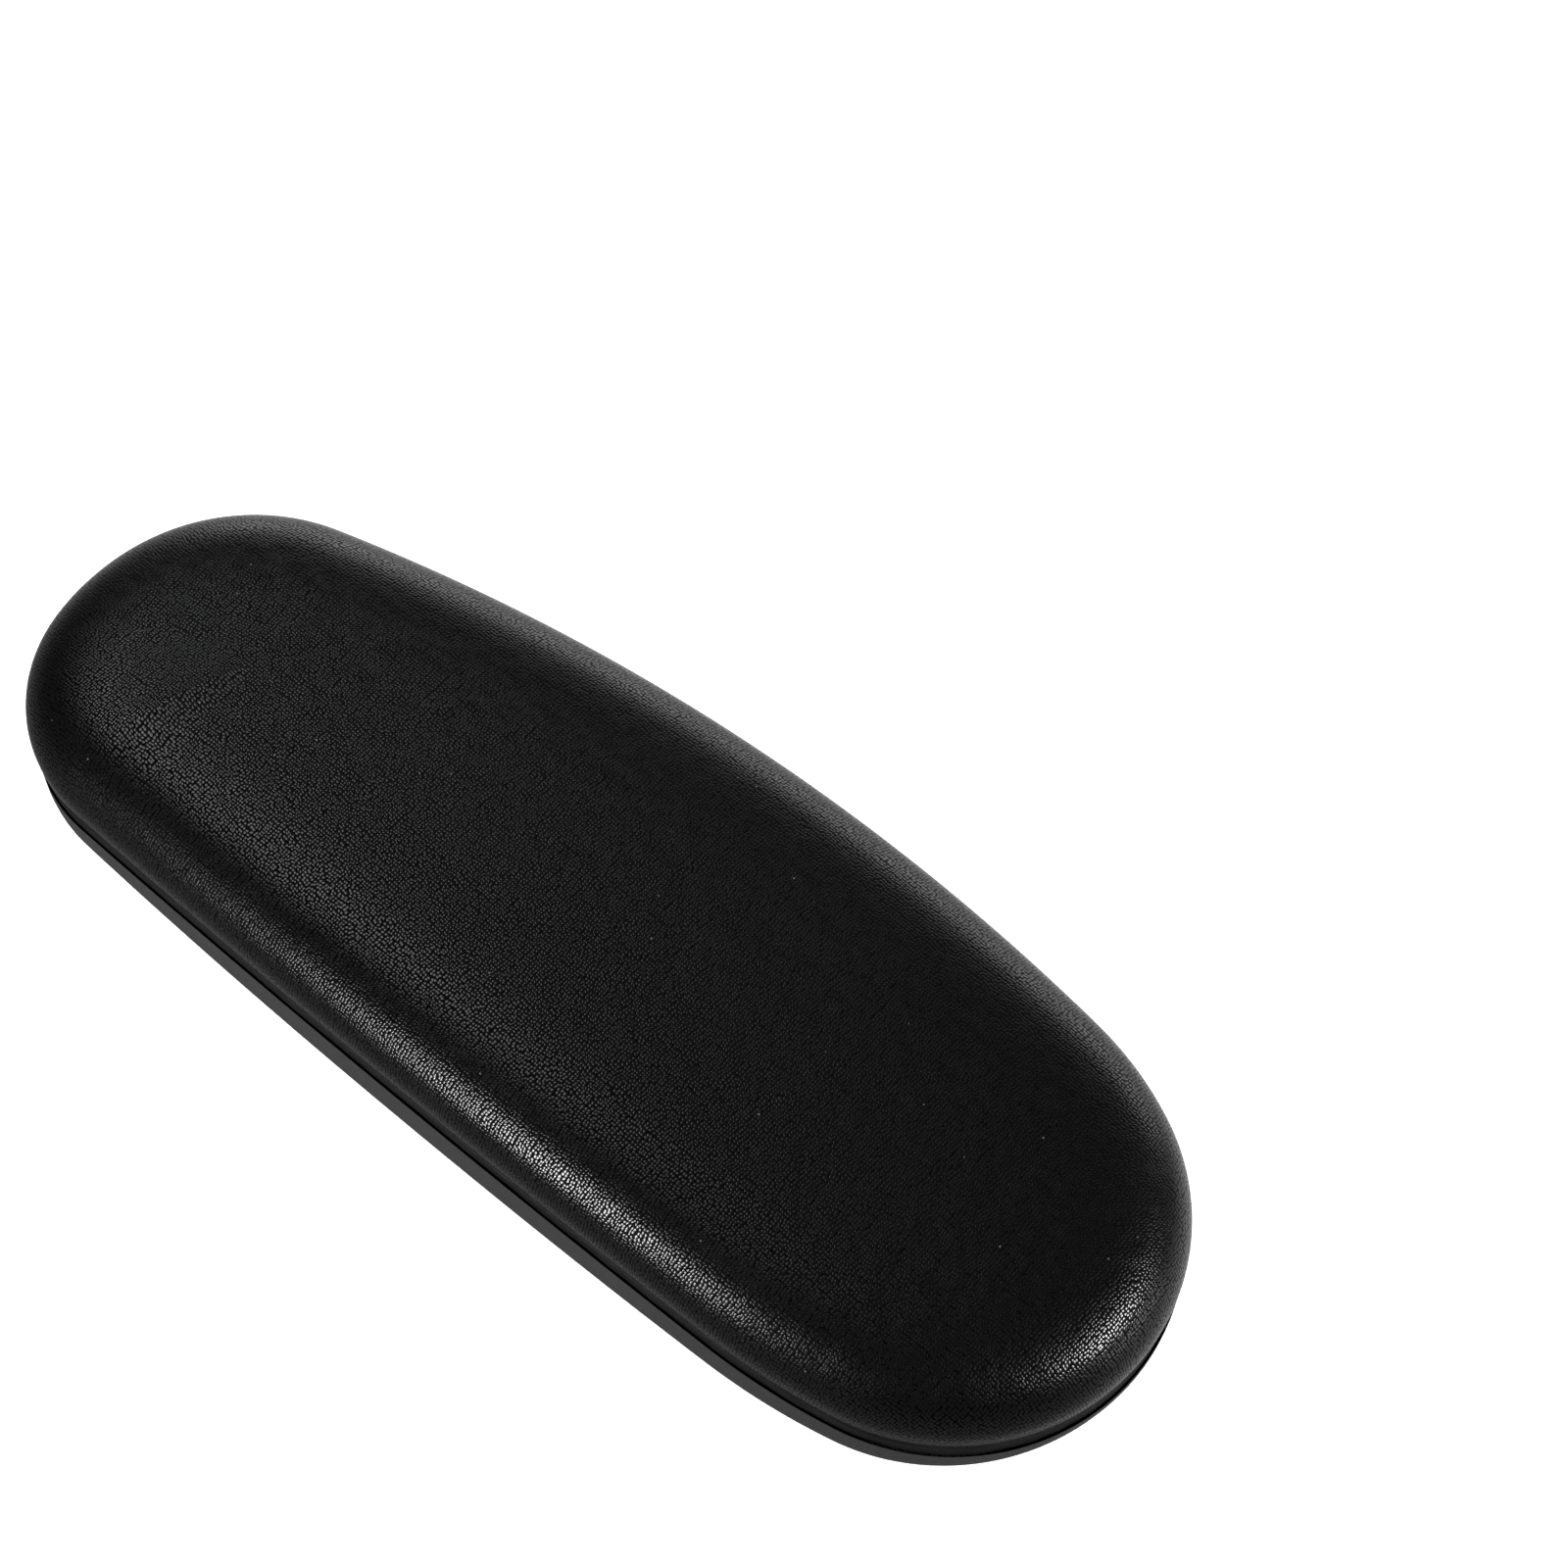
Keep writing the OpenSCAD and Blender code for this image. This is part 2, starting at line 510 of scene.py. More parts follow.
class SandTexture(ShaderGroup):
    """Fine sand-blasted texture, with its peaks marked for painted glints."""

    title = "Sand texture"
    numbers = {"Pitch": 0.3 * MM, "Coarse": 0.4}
    outputs = ("Height", "Sparkle")

    def draw(self, sheet: NodeSheet, source: object) -> dict[str, bpy.types.NodeSocket]:
        """Draws two sizes of noise.

        Args:
            sheet: The group's tree.
            source: Its input sockets by name.

        Returns:
            Its output sockets by name.
        """
        scale = sheet.math("DIVIDE", 1.0, source["Pitch"])
        fine = sheet.add("ShaderNodeTexNoise")
        fine.inputs["Detail"].default_value = 2.0
        fine.inputs["Roughness"].default_value = 0.6
        sheet.join(source["Vector"], fine.inputs["Vector"])
        sheet.join(scale, fine.inputs["Scale"])
        broad = sheet.add("ShaderNodeTexNoise")
        broad.inputs["Detail"].default_value = 1.0
        sheet.join(source["Vector"], broad.inputs["Vector"])
        sheet.join(sheet.math("MULTIPLY", scale, 0.22), broad.inputs["Scale"])
        mixed = sheet.math("MULTIPLY", broad.outputs["Fac"], source["Coarse"])
        height = sheet.math("ADD", fine.outputs["Fac"], mixed)
        return {"Height": height, "Sparkle": sheet.ramp(fine.outputs["Fac"], 0.56, 0.72)}


class Mottle(ShaderGroup):
    """Slow, cloudy changes of tone over a surface."""

    title = "Mottle"
    numbers = {"Size": 30 * MM, "Streak": 1.0}
    outputs = ("Cloud",)

    def draw(self, sheet: NodeSheet, source: object) -> dict[str, bpy.types.NodeSocket]:
        """Draws soft noise, drawn out along X by the streak.

        Args:
            sheet: The group's tree.
            source: Its input sockets by name.

        Returns:
            Its output sockets by name.
        """
        stretch = sheet.add("ShaderNodeCombineXYZ")
        sheet.join(sheet.math("DIVIDE", 1.0, source["Streak"]), stretch.inputs["X"])
        stretch.inputs["Y"].default_value = 1.0
        stretch.inputs["Z"].default_value = 1.0
        drawn = sheet.add("ShaderNodeVectorMath", operation="MULTIPLY")
        sheet.join(source["Vector"], drawn.inputs[0])
        sheet.join(stretch.outputs[0], drawn.inputs[1])
        cloud = sheet.add("ShaderNodeTexNoise")
        cloud.inputs["Detail"].default_value = 4.0
        sheet.join(drawn.outputs[0], cloud.inputs["Vector"])
        sheet.join(sheet.math("DIVIDE", 1.0, source["Size"]), cloud.inputs["Scale"])
        return {"Cloud": sheet.ramp(cloud.outputs["Fac"], 0.3, 0.7)}


class Dust(ShaderGroup):
    """Sparse pale specks of lint and dust."""

    title = "Dust"
    numbers = {"Spacing": 4 * MM, "Amount": 0.35}
    outputs = ("Speck",)

    def draw(self, sheet: NodeSheet, source: object) -> dict[str, bpy.types.NodeSocket]:
        """Draws a small dot in some cells of a random field.

        Args:
            sheet: The group's tree.
            source: Its input sockets by name.

        Returns:
            Its output sockets by name.
        """
        cells = sheet.add("ShaderNodeTexVoronoi", feature="F1")
        sheet.join(source["Vector"], cells.inputs["Vector"])
        sheet.join(sheet.math("DIVIDE", 1.0, source["Spacing"]), cells.inputs["Scale"])
        near = sheet.math("SUBTRACT", 1.0, sheet.ramp(cells.outputs["Distance"], 0.025, 0.06))
        lot = sheet.add("ShaderNodeSeparateColor")
        sheet.join(cells.outputs["Color"], lot.inputs[0])
        chosen = sheet.math("LESS_THAN", lot.outputs[0], source["Amount"])
        return {"Speck": sheet.math("MULTIPLY", near, chosen)}


@dataclass
class ShaderGroups:
    """The shared node groups."""

    pebble: PebbleGrain = field(default_factory=PebbleGrain)
    sand: SandTexture = field(default_factory=SandTexture)
    mottle: Mottle = field(default_factory=Mottle)
    dust: Dust = field(default_factory=Dust)


# ---------------------------------------------------------------------------------------------
# Finishes
# ---------------------------------------------------------------------------------------------


@dataclass(frozen=True)
class Finish:
    """A material's plain numbers, with the tree that every finish starts from.

    Args:
        name: Name of the material.
        roughness: Roughness before the pattern changes it.
        metallic: Share of metal.
        specular: Strength of the mirror-like reflection.
    """

    name: str
    roughness: float
    metallic: float = 0.0
    specular: float = 0.5

    def start(self) -> tuple[bpy.types.Material, NodeSheet, bpy.types.Node]:
        """Makes the material with its shader.

        Returns:
            The material, its tree and its shader node.
        """
        material = bpy.data.materials.new(self.name)
        material.use_nodes = True
        sheet = NodeSheet(material.node_tree)
        shader = sheet.add("ShaderNodeBsdfPrincipled")
        shader.inputs["Roughness"].default_value = self.roughness
        shader.inputs["Metallic"].default_value = self.metallic
        shader.inputs["Specular IOR Level"].default_value = self.specular
        sheet.join(shader.outputs[0], sheet.add("ShaderNodeOutputMaterial").inputs["Surface"])
        return material, sheet, shader

    @staticmethod
    def coordinates(sheet: NodeSheet, choice: Coordinates = Coordinates.OBJECT) -> bpy.types.NodeSocket:
        """Returns the coordinates that a pattern reads."""
        if choice is Coordinates.GRAIN_MAP:
            return sheet.add("ShaderNodeUVMap", uv_map="grain_map").outputs[0]
        return sheet.add("ShaderNodeTexCoord").outputs["Object"]

    @staticmethod
    def bump(sheet: NodeSheet, height: bpy.types.NodeSocket, depth: float, shader: bpy.types.Node) -> None:
        """Raises the surface by a height field that spans a depth in metres."""
        node = sheet.add("ShaderNodeBump")
        node.inputs["Distance"].default_value = depth
        sheet.join(height, node.inputs["Height"])
        sheet.join(node.outputs[0], shader.inputs["Normal"])


@dataclass(frozen=True)
class GrainedSkin(Finish):
    """Satin black skin with a pebble grain; painted shade makes its crevices as good as lightless."""

    # black is the painted shade down in the crevices; crest is the skin's own tone on the pebbles.
    black: tuple[float, float, float] = (0.0006, 0.0006, 0.0007)
    crest: tuple[float, float, float] = (0.003, 0.003, 0.0032)
    depth: float = 0.07 * MM

    def build(self, groups: ShaderGroups) -> bpy.types.Material:
        """Builds the material.

        Args:
            groups: The shared node groups.

        Returns:
            The material.
        """
        material, sheet, shader = self.start()
        place = self.coordinates(sheet)
        grain = groups.pebble.place(sheet, self.coordinates(sheet, Coordinates.GRAIN_MAP))
        cloud = groups.mottle.place(sheet, place, Size=45 * MM, Streak=2.0)["Cloud"]
        speck = groups.dust.place(sheet, place)["Speck"]
        # Painted shade: the base colour darkens from the pebble crests down into the crevices.
        tone = sheet.blend(grain["Height"], self.black, self.crest)
        tone = sheet.blend(sheet.math("MULTIPLY", speck, 0.5), tone, (0.22, 0.22, 0.21))
        sheet.join(tone, shader.inputs["Base Color"])
        rough = sheet.scaled(cloud, 0.05, self.roughness - 0.025)
        # Painted shade: a near-metal black in the crevices, so that they reflect almost nothing.
        sheet.join(sheet.math("MULTIPLY", grain["Crevice"], 0.92), shader.inputs["Metallic"])
        worn = sheet.math("MULTIPLY", grain["Crevice"], 0.3)
        sheet.join(sheet.math("ADD", rough, worn, clamp=True), shader.inputs["Roughness"])
        self.bump(sheet, grain["Height"], self.depth, shader)
        return material


@dataclass(frozen=True)
class RimSkin(Finish):
    """Smooth dark skin of the trimmed parting rim, with faint knife marks along it."""

    black: tuple[float, float, float] = (0.003, 0.003, 0.0032)

    def build(self, groups: ShaderGroups) -> bpy.types.Material:
        """Builds the material.

        Args:
            groups: The shared node groups.

        Returns:
            The material.
        """
        material, sheet, shader = self.start()
        place = self.coordinates(sheet)
        cloud = groups.mottle.place(sheet, place, Size=2.5 * MM, Streak=3.0)["Cloud"]
        speck = groups.dust.place(sheet, place, Spacing=6 * MM)["Speck"]
        tone = sheet.blend(cloud, self.black, (0.0055, 0.0055, 0.0058))
        tone = sheet.blend(sheet.math("MULTIPLY", speck, 0.5), tone, (0.25, 0.25, 0.24))
        sheet.join(tone, shader.inputs["Base Color"])
        rough = sheet.scaled(cloud, 0.16, self.roughness)
        sheet.join(rough, shader.inputs["Roughness"])
        self.bump(sheet, cloud, 0.05 * MM, shader)
        return material


@dataclass(frozen=True)
class MatteSkin(Finish):
    """Dull black skin of the base, sandy to the touch, with painted glints on its sand grains."""

    black: tuple[float, float, float] = (0.016, 0.016, 0.0165)
    glint_tone: tuple[float, float, float] = (0.05, 0.05, 0.051)

    def build(self, groups: ShaderGroups) -> bpy.types.Material:
        """Builds the material.

        Args:
            groups: The shared node groups.

        Returns:
            The material.
        """
        material, sheet, shader = self.start()
        place = self.coordinates(sheet)
        sand = groups.sand.place(sheet, place)
        cloud = groups.mottle.place(sheet, place, Size=14 * MM)["Cloud"]
        speck = groups.dust.place(sheet, place, Spacing=5 * MM)["Speck"]
        # Painted glints: the base colour is lighter where the fine sand texture peaks.
        tone = sheet.blend(sand["Sparkle"], self.black, self.glint_tone)
        tone = sheet.blend(sheet.math("MULTIPLY", cloud, 0.35), tone, (0.02, 0.02, 0.0205))
        tone = sheet.blend(sheet.math("MULTIPLY", speck, 0.4), tone, (0.25, 0.25, 0.24))
        sheet.join(tone, shader.inputs["Base Color"])
        rough = sheet.scaled(cloud, 0.1, self.roughness)
        sheet.join(rough, shader.inputs["Roughness"])
        self.bump(sheet, sand["Height"], 0.08 * MM, shader)
        return material


@dataclass(frozen=True)
class CellFoam(Finish):
    """Dark open foam, seen only where the pad is cut, with painted shade in its pores."""

    def build(self, groups: ShaderGroups) -> bpy.types.Material:
        """Builds the material.

        Args:
            groups: The shared node groups.

        Returns:
            The material.
        """
        material, sheet, shader = self.start()
        place = self.coordinates(sheet)
        cells = sheet.add("ShaderNodeTexVoronoi", feature="F1")
        cells.inputs["Scale"].default_value = 1 / (0.7 * MM)
        sheet.join(place, cells.inputs["Vector"])
        cloud = groups.mottle.place(sheet, place, Size=8 * MM)["Cloud"]
        # Painted shade: the base colour is darkest in the pits at the cell centres.
        tone = sheet.blend(cells.outputs["Distance"], (0.01, 0.01, 0.011), (0.06, 0.06, 0.062))
        tone = sheet.blend(sheet.math("MULTIPLY", cloud, 0.3), tone, (0.03, 0.03, 0.03))
        sheet.join(tone, shader.inputs["Base Color"])
        self.bump(sheet, cells.outputs["Distance"], 0.3 * MM, shader)
        return material


@dataclass(frozen=True)
class Plywood(Finish):
    """Pale veneer with long figure on the faces and plies on the edge."""

    pale: tuple[float, float, float] = (0.56, 0.38, 0.2)
    dark: tuple[float, float, float] = (0.3, 0.16, 0.07)
    ply: float = 1.3 * MM

    def build(self, groups: ShaderGroups) -> bpy.types.Material:
        """Builds the material.

        Args:
            groups: The shared node groups.

        Returns:
            The material.
        """
        material, sheet, shader = self.start()
        place = self.coordinates(sheet)
        figure = groups.mottle.place(sheet, place, Size=1.6 * MM, Streak=14.0)["Cloud"]
        broad = groups.mottle.place(sheet, place, Size=18 * MM, Streak=4.0)["Cloud"]
        level = sheet.add("ShaderNodeSeparateXYZ")
        sheet.join(place, level.inputs[0])
        layer = sheet.math("PINGPONG", level.outputs["Z"], self.ply)
        edge = sheet.math("MULTIPLY", sheet.ramp(layer, self.ply * 0.35, self.ply * 0.65), 0.35)
        tone = sheet.blend(figure, self.pale, self.dark)
        tone = sheet.blend(sheet.math("MULTIPLY", broad, 0.5), tone, self.pale)
        tone = sheet.blend(edge, tone, self.dark)
        sheet.join(tone, shader.inputs["Base Color"])
        self.bump(sheet, figure, 0.06 * MM, shader)
        return material


@dataclass(frozen=True)
class ZincSteel(Finish):
    """Zinc-plated steel with a faint blue-yellow tint and small scuffs."""

    def build(self, groups: ShaderGroups) -> bpy.types.Material:
        """Builds the material.

        Args:
            groups: The shared node groups.

        Returns:
            The material.
        """
        material, sheet, shader = self.start()
        place = self.coordinates(sheet)
        cloud = groups.mottle.place(sheet, place, Size=3 * MM)["Cloud"]
        scuff = groups.mottle.place(sheet, place, Size=0.5 * MM, Streak=6.0)["Cloud"]
        sheet.join(sheet.blend(cloud, (0.62, 0.64, 0.68), (0.55, 0.52, 0.44)), shader.inputs["Base Color"])
        rough = sheet.scaled(scuff, 0.2, self.roughness)
        sheet.join(rough, shader.inputs["Roughness"])
        self.bump(sheet, scuff, 0.02 * MM, shader)
        return material


@dataclass(frozen=True)
class Foil(Finish):
    """Crinkled aluminium foil."""

    def build(self, groups: ShaderGroups) -> bpy.types.Material:
        """Builds the material.

        Args:
            groups: The shared node groups.

        Returns:
            The material.
        """
        material, sheet, shader = self.start()
        place = self.coordinates(sheet)
        folds = sheet.add("ShaderNodeTexVoronoi", feature="DISTANCE_TO_EDGE")
        folds.inputs["Scale"].default_value = 1 / (2.2 * MM)
        sheet.join(place, folds.inputs["Vector"])
        cloud = groups.mottle.place(sheet, place, Size=4 * MM)["Cloud"]
        sheet.join(sheet.blend(cloud, (0.8, 0.8, 0.81), (0.66, 0.66, 0.67)), shader.inputs["Base Color"])
        rough = sheet.scaled(cloud, 0.15, self.roughness)
        sheet.join(rough, shader.inputs["Roughness"])
        self.bump(sheet, folds.outputs["Distance"], 0.25 * MM, shader)
        return material


# ---------------------------------------------------------------------------------------------
# The pad's surfaces
# ---------------------------------------------------------------------------------------------


@dataclass
class GrainedCrown:
    """The grained upper half: it tucks in to the rim, swells out and rolls over to a gentle top.

    Args:
        outline: The plan outline.
        foot: Height of its lower edge, at the top of the rim.
        top: Height of the crown's highest point.
        tuck: How far the lower edge tucks in under the widest level.
        swell: Height of the widest level above the lower edge.
        roundness: Sharpness of the shoulder, the same all round, per metre of half width.
        wall: Thickness of the skin.
        tuck_rings: Levels below the widest one.
        crown_rings: Levels above it.
        last_reach: Share of the way to the spine at the last ring.
        crowding: How much closer together the rings are near the edge.
    """

    outline: PlanOutline
    foot: float
    top: float
    tuck: float = 1.1 * MM
    swell: float = 5.8 * MM
    roundness: float = 145.0
    wall: float = 1.2 * MM
    tuck_rings: int = 6
    crown_rings: int = 30
    last_reach: float = 0.93
    crowding: float = 2.4

    def height(self, reach: float, half_width: float) -> float:
        """Returns the height at a share of the way to the spine.

        Args:
            reach: The share, from 0 at the widest level to 1 at the spine.
            half_width: Length of that way.

        Returns:
            The height above the underside.
        """
        sharpness = self.roundness * half_width
        rise = self.top - self.foot - self.swell
        return self.foot + self.swell + rise * math.sqrt(1.0 - (1.0 - reach) ** sharpness)

    def reach_of(self, ring: int) -> float:
        """Returns a ring's share of the way to the spine, closer together near the edge."""
        return self.last_reach * (ring / self.crown_rings) ** self.crowding

    @staticmethod
    def place(station: Station, reach: float) -> Vector:
        """Returns a station's plan place, square to the outline at first and then to the spine."""
        turn = reach * reach * (3.0 - 2.0 * reach)
        straight = station.outward * (-station.to_spine.length * reach)
        return station.point + straight * (1.0 - turn) + station.to_spine * reach * turn

    def rings(self) -> list[list[Vector]]:
        """Returns the places of every ring, from the foot up to the last one."""
        found = []
        for k in range(self.tuck_rings):
            share = 1.0 - k / self.tuck_rings
            z = self.foot + self.swell * (1.0 - share)
            inset = self.tuck * share * share
            found.append([s.inset(inset) + UP * z for s in self.outline.stations])
        for k in range(self.crown_rings + 1):
            reach = self.reach_of(k)
            found.append([
                self.place(s, reach) + UP * self.height(reach, s.to_spine.length)
                for s in self.outline.stations
            ])
        return found

    def lay_grain_map(self, bm: BMesh, rings: list[list[BMVert]]) -> None:
        """Lays the grain out flat from the spine, so that it keeps its size over the shoulder.

        Args:
            bm: The mesh.
            rings: Its vertices, ring by ring.
        """
        flat: dict[BMVert, Vector] = {}
        for i in range(len(rings[0])):
            column = [ring[i] for ring in rings]
            centre = column[-1].co
            ahead = (column[self.tuck_rings].co - centre).to_2d().normalized()
            walked = 0.0
            flat[column[-1]] = centre.to_2d()
            for upper, lower in zip(reversed(column), reversed(column[:-1])):
                walked += (upper.co - lower.co).length
                flat[lower] = centre.to_2d() + ahead * walked
        layer = bm.loops.layers.uv.new("grain_map")
        for face in bm.faces:
            for loop in face.loops:
                loop[layer].uv = flat[loop.vert]

    def build(self) -> bpy.types.Object:
        """Builds the crown.

        Returns:
            The finished piece.
        """
        bm = bmesh.new()
        places = self.rings()
        loops = [new_loop(bm, places[0])]
        for ring in places[1:]:
            loops.append(extrude_loop(bm, loops[-1], ring))
        close_loop(bm, loops[-1])
        self.lay_grain_map(bm, loops)
        piece = to_piece(bm, "grained_crown")
        give_wall(piece, self.wall)
        return piece


@dataclass
class TrimmedRim:
    """The parting rim: a narrow band with a fine groove along it and a slightly ragged lower edge.

    Args:
        outline: The plan outline.
        foot: Height of its lower edge.
        top: Height of its upper edge.
        stand_in: Inset of its face from the outline.
        depth: Inset of its hidden back.
        groove: Depth of the groove where the mould halves met.
        ragged: How far the lower edge wanders.
        soft: Size of its rounded corners.
        slow_waves: Waves of the wander per metre, the long ones.
        quick_waves: The short ones.
    """

    outline: PlanOutline
    foot: float
    top: float
    stand_in: float = 0.75 * MM
    depth: float = 2.6 * MM
    groove: float = 0.14 * MM
    ragged: float = 0.22 * MM
    soft: float = 0.16 * MM
    slow_waves: float = 95.0
    quick_waves: float = 420.0

    def profile(self) -> list[tuple[float, float, float]]:
        """Returns the section's corners as inset, height and share of the raggedness."""
        face, back = self.stand_in, self.depth
        low, high = self.foot, self.top
        middle = low + (high - low) * 0.52
        soft = self.soft
        return [
            (back, low, 0.0), (face + soft * 2.2, low, 0.6), (face + soft * 0.6, low + soft * 0.3, 1.0),
            (face, low + soft * 1.3, 1.0), (face, middle - soft, 0.1),
            (face + self.groove, middle, 0.0), (face, middle + soft, 0.0),
            (face, high - soft * 1.5, 0.0), (face + soft * 0.5, high - soft * 0.4, 0.0),
            (face + soft * 2.0, high, 0.0), (back, high, 0.0),
        ]

    def wander(self, point: Vector) -> float:
        """Returns how far the lower edge strays at a place."""
        slow = noise.noise(point * self.slow_waves)
        quick = noise.noise(point * self.quick_waves + Vector((3.1, 7.7, 0.0)))
        return self.ragged * (slow * 0.9 + quick * 0.6)

    def build(self) -> bpy.types.Object:
        """Builds the rim.

        Returns:
            The finished piece.
        """
        bm = bmesh.new()
        loops: list[list[BMVert]] = []
        for inset, z, share in self.profile():
            ring = [
                s.inset(inset + self.wander(s.point * 1.7) * share * 0.4)
                + UP * (z + self.wander(s.point) * share)
                for s in self.outline.stations
            ]
            loops.append(extrude_loop(bm, loops[-1], ring) if loops else new_loop(bm, ring))
        bmesh.ops.bridge_loops(bm, edges=loop_edges(loops[0]) + loop_edges(loops[-1]))
        return to_piece(bm, "trimmed_rim")


@dataclass
class MatteBase:
    """The matte lower half: an upright wall, a rolled edge and a flat underside with its openings.

    Args:
        outline: The plan outline.
        top: Height of its upper edge, under the rim.
        board: Height of the board above the underside, where the openings end.
        nuts: Places of the windows.
        pins: Places of the mould pin holes.
        tuck: Inset of the wall from the outline.
        side_r: Edge radius along the sides.
        end_r: Edge radius at the ends.
        window_r: Radius of a window.
        pin_r: Radius of a pin hole.
        lip: Radius of the rounded edge round an opening.
        roll_rings: Levels in the rolled edge.
        edge_growth: How late along the pad the edge radius grows.
        least_wall: Least height of upright wall above the rolled edge.
        hole_sides: Sides of an opening.
    """

    outline: PlanOutline
    top: float
    board: float
    nuts: tuple[Vector, ...]
    pins: tuple[Vector, ...]
    tuck: float = 0.3 * MM
    side_r: float = 3.3 * MM
    end_r: float = 11.8 * MM
    window_r: float = 10.0 * MM
    pin_r: float = 4.0 * MM
    lip: float = 0.5 * MM
    roll_rings: int = 10
    edge_growth: float = 2.5
    least_wall: float = 0.2 * MM
    hole_sides: int = 64

    def edge_radius(self, station: Station) -> float:
        """Returns the edge radius below a station, which grows towards the ends."""
        share = abs(station.point.x / (self.outline.length / 2)) ** self.edge_growth
        return self.side_r + (self.end_r - self.side_r) * share

    def rings(self) -> list[list[Vector]]:
        """Returns the places of every ring, from under the rim down to the flat underside."""
        found = [[s.inset(self.tuck) + UP * self.top for s in self.outline.stations]]
        for k in range(self.roll_rings + 1):
            angle = math.radians(90.0 * k / self.roll_rings)
            ring = []
            for station in self.outline.stations:
                r = min(self.edge_radius(station), self.top - self.least_wall)
                inset = self.tuck + r * (1.0 - math.cos(angle))
                ring.append(station.inset(inset) + UP * r * (1.0 - math.sin(angle)))
            found.append(ring)
        return found

    def open_hole(self, bm: BMesh, centre: Vector, radius: float) -> list[BMEdge]:
        """Draws one opening, from its rounded lip up to the board.

        Args:
            bm: The mesh.
            centre: Its centre.
            radius: Its radius.

        Returns:
            The edges of its mouth in the underside.
        """
        made = bmesh.ops.create_circle(
            bm, cap_ends=False, radius=radius + self.lip, segments=self.hole_sides,
            matrix=Matrix.Translation((centre.x, centre.y, 0.0)),
        )["verts"]
        mouth = list(made)
        loop = mouth
        for angle in (22.5, 45.0, 67.5, 90.0):
            a = math.radians(angle)
            size = radius + self.lip * (1.0 - math.sin(a))
            rise = self.lip * (1.0 - math.cos(a))
            loop = extrude_loop(bm, loop, self.circle(mouth, centre, size, rise))
        extrude_loop(bm, loop, self.circle(mouth, centre, radius, self.board))
        return loop_edges(mouth)

    @staticmethod
    def circle(verts: Iterable[BMVert], centre: Vector, radius: float, z: float) -> list[Vector]:
        """Finds the vertices' places on a circle of another radius and height.

        Args:
            verts: The vertices, which keep their directions from the centre.
            centre: The circle's centre in plan.
            radius: Its radius.
            z: Its height.

        Returns:
            One place for each vertex.
        """
        flat = Vector((centre.x, centre.y, 0.0))
        return [
            flat + Vector((v.co.x - centre.x, v.co.y - centre.y, 0.0)).normalized() * radius + UP * z
            for v in verts
        ]

    def build(self) -> bpy.types.Object:
        """Builds the base.

        Returns:
            The finished piece.
        """
        bm = bmesh.new()
        places = self.rings()
        loop = new_loop(bm, places[0])
        for ring in places[1:]:
            loop = extrude_loop(bm, loop, ring)
        edges = loop_edges(loop)
        for centre in self.nuts:
            edges += self.open_hole(bm, centre, self.window_r)
        for centre in self.pins:
            edges += self.open_hole(bm, centre, self.pin_r)
        bmesh.ops.triangle_fill(bm, edges=edges, use_beauty=True, use_dissolve=False)
        return to_piece(bm, "matte_base")


# ---------------------------------------------------------------------------------------------
# The pad
# ---------------------------------------------------------------------------------------------


@dataclass
class Insert:
    """The pieces inside the pad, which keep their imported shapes.

    Args:
        finishes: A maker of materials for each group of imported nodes.
    """

    finishes: dict[str, Callable[[ShaderGroups], bpy.types.Material]]

    def dress(self, groups: ShaderGroups) -> None:
        """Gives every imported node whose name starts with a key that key's material.

        Args:
            groups: The shared node groups.
        """
        for start, maker in self.finishes.items():
            material = maker(groups)
            for name, node in sorted(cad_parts.items()):
                if name.startswith(start):
                    node.data.materials.clear()
                    node.data.materials.append(material)
                    LOG.info("%s dressed in %s", name, material.name)


@dataclass
class ArmrestPad:
    """The whole pad.

    Args:
        groups: The shared node groups.
        pin_x: Distance of each mould pin hole from the pad's centre.
    """

    groups: ShaderGroups = field(default_factory=ShaderGroups)
    pin_x: float = 78 * MM

    def place_piece(
        self, piece: bpy.types.Object, material: bpy.types.Material, node: str,
    ) -> None:
        """Dresses a piece and ties it to the frame.

        Args:
            piece: The new piece.
            material: Its material.
            node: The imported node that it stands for.
        """
        piece.data.materials.append(material)
        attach(piece, BODY)
        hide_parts(node)
        LOG.info("%s stands for %s", piece.name, node)

    def build(self) -> None:
        """Builds the three skins and dresses what they hold."""
        crown_low, crown_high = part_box("upper_skin")
        rim_low, rim_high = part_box("parting_rim")
        board_low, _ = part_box("core_board")
        outline = PlanOutline(
            length=crown_high.x - crown_low.x, width=crown_high.y - crown_low.y,
        )
        crown = GrainedCrown(outline, foot=rim_high.z, top=crown_high.z)
        grained = GrainedSkin("grained_skin", roughness=0.18, specular=0.3)
        piece = crown.build()
        self.place_piece(piece, grained.build(self.groups), "upper_skin")

        rim = TrimmedRim(outline, foot=rim_low.z, top=rim_high.z)
        smooth = RimSkin("rim_skin", roughness=0.5, specular=0.12)
        self.place_piece(rim.build(), smooth.build(self.groups), "parting_rim")

        nuts = [name for name in sorted(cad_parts) if name.startswith("tee_nut")]
        base = MatteBase(
            outline, top=rim_low.z, board=board_low.z,
            nuts=tuple(self.centre(name) for name in nuts),
            pins=(Vector((self.pin_x, 0.0, 0.0)), Vector((-self.pin_x, 0.0, 0.0))),
        )
        matte = MatteSkin("matte_skin", roughness=0.62, specular=0.3)
        self.place_piece(base.build(), matte.build(self.groups), "lower_skin")

        Insert({
            "core_board": Plywood("plywood", roughness=0.62).build,
            "tee_nut": ZincSteel("zinc_steel", roughness=0.26, metallic=1.0).build,
            "seal": Foil("foil", roughness=0.24, metallic=1.0).build,
            "foam_core": CellFoam("foam", roughness=0.85).build,
        }).dress(self.groups)

    @staticmethod
    def centre(node: str) -> Vector:
        """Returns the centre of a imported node's box."""
        low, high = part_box(node)
        return (low + high) / 2


# ---------------------------------------------------------------------------------------------
# Studio
# ---------------------------------------------------------------------------------------------


